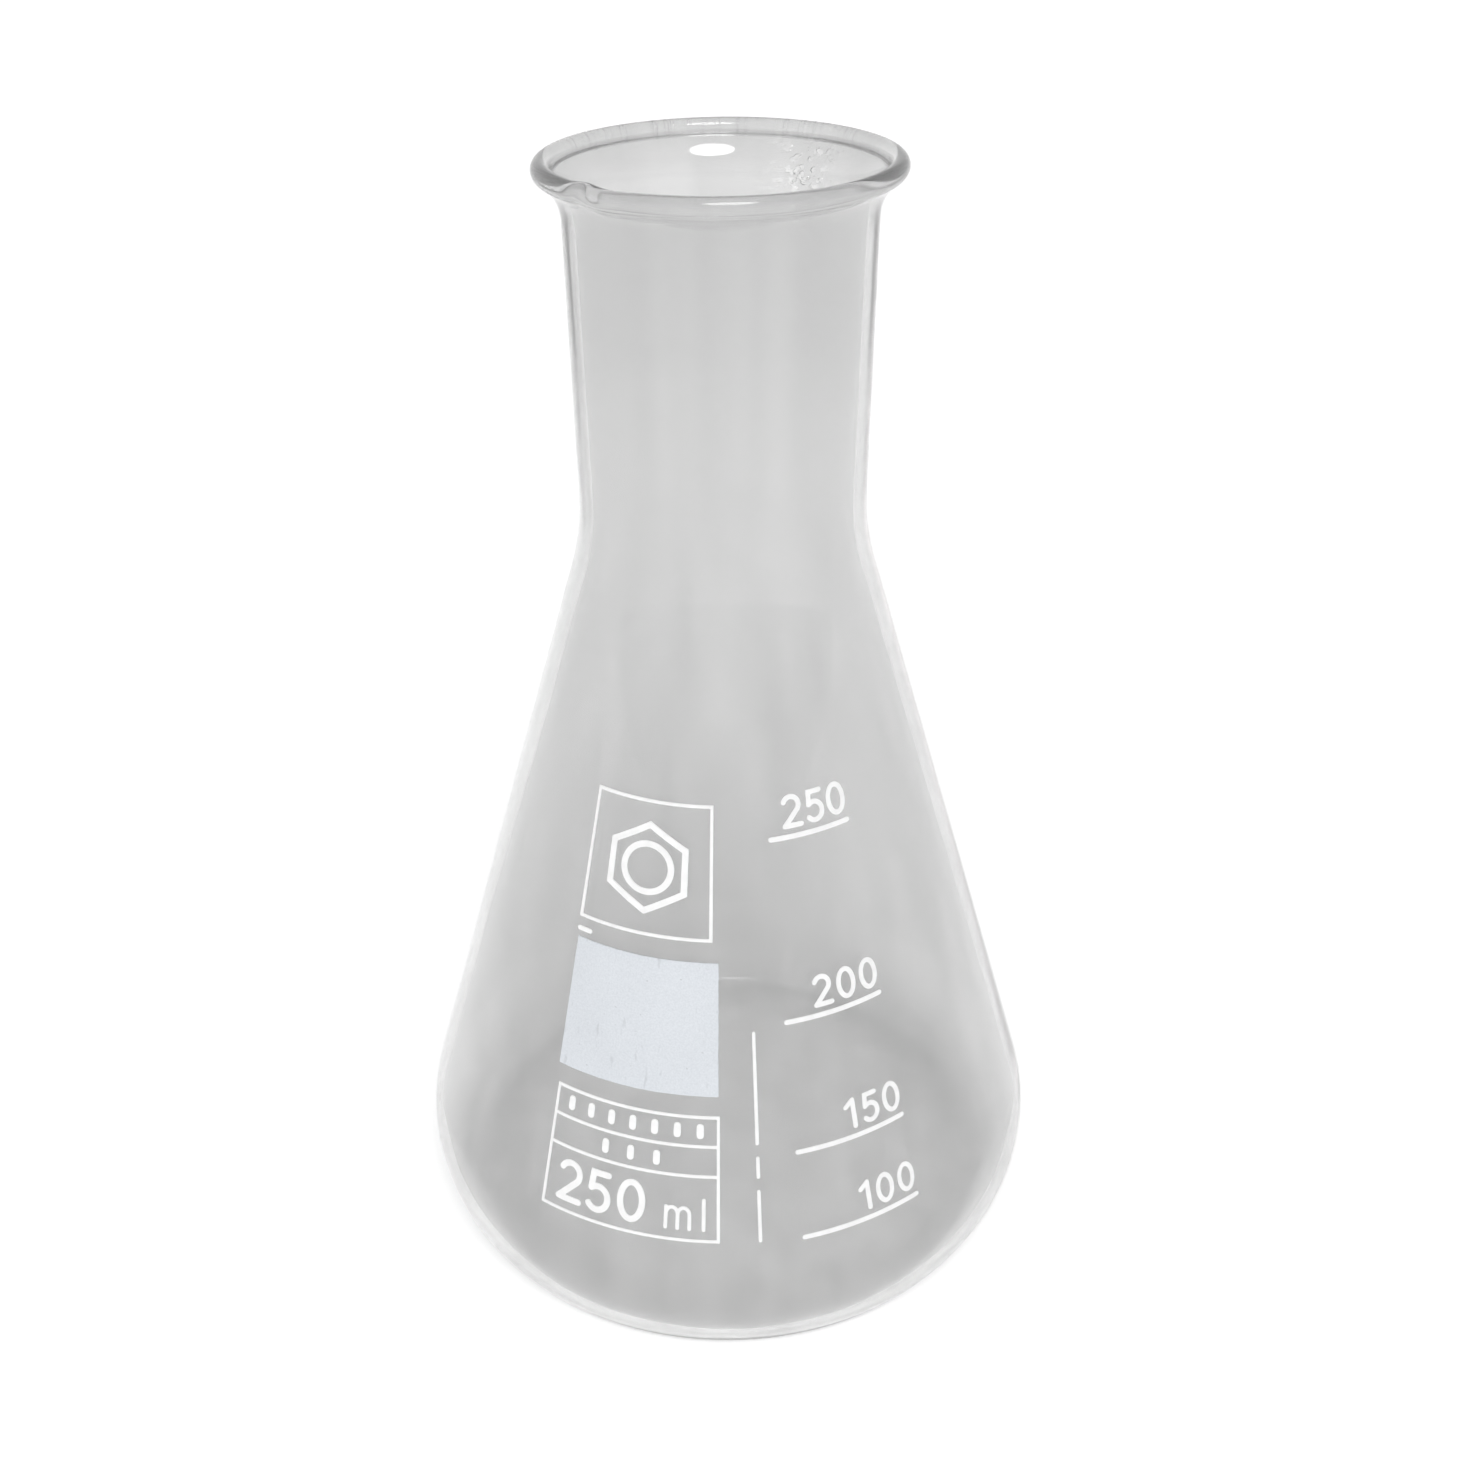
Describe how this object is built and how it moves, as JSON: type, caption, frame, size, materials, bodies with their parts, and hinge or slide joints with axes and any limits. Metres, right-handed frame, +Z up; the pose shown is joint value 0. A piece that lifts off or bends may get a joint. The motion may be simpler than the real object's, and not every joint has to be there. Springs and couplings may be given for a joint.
{
  "type": "erlenmeyer flask",
  "caption": "Conical narrow-neck laboratory flask in clear glass with a beaded lip and a white enamel volume scale, marking field and capacity label.",
  "frame": {"origin": "centre of the base, on the plane that the flask stands on", "axes": "+Z up along the neck's axis; the printed side faces -Y, with the scale on its +X half"},
  "size_m": [0.085, 0.085, 0.1442],
  "materials": {
    "glass": "clear blown borosilicate glass, fire polished",
    "white_enamel": "fired-on white enamel, satin",
    "field_enamel": "thin fired-on enamel field for writing, matt, faintly blue"
  },
  "bodies": {
    "root": {"glass_body": "glass", "capacity_digit_0": "white_enamel", "capacity_digit_2": "white_enamel", "capacity_digit_5": "white_enamel", "capacity_unit_l": "white_enamel", "capacity_unit_m": "white_enamel", "emblem_frame": "white_enamel", "emblem_hexagon": "white_enamel", "emblem_ring": "white_enamel", "graduation_100_digit_1": "white_enamel", "graduation_100_digit_2": "white_enamel", "graduation_100_digit_3": "white_enamel", "graduation_150_digit_1": "white_enamel", "graduation_150_digit_2": "white_enamel", "graduation_150_digit_3": "white_enamel", "graduation_200_digit_1": "white_enamel", "graduation_200_digit_2": "white_enamel", "graduation_200_digit_3": "white_enamel", "graduation_250_digit_1": "white_enamel", "graduation_250_digit_2": "white_enamel", "graduation_250_digit_3": "white_enamel", "graduation_line_100": "white_enamel", "graduation_line_150": "white_enamel", "graduation_line_200": "white_enamel", "graduation_line_250": "white_enamel", "label_frame": "white_enamel", "lower_mark_1": "white_enamel", "lower_mark_2": "white_enamel", "lower_mark_3": "white_enamel", "marking_field": "field_enamel", "registration_dash": "white_enamel", "side_bar_1": "white_enamel", "side_bar_2": "white_enamel", "side_bar_3": "white_enamel", "upper_mark_1": "white_enamel", "upper_mark_2": "white_enamel", "upper_mark_3": "white_enamel", "upper_mark_4": "white_enamel", "upper_mark_5": "white_enamel", "upper_mark_6": "white_enamel", "upper_mark_7": "white_enamel"}
  },
  "joints": []
}
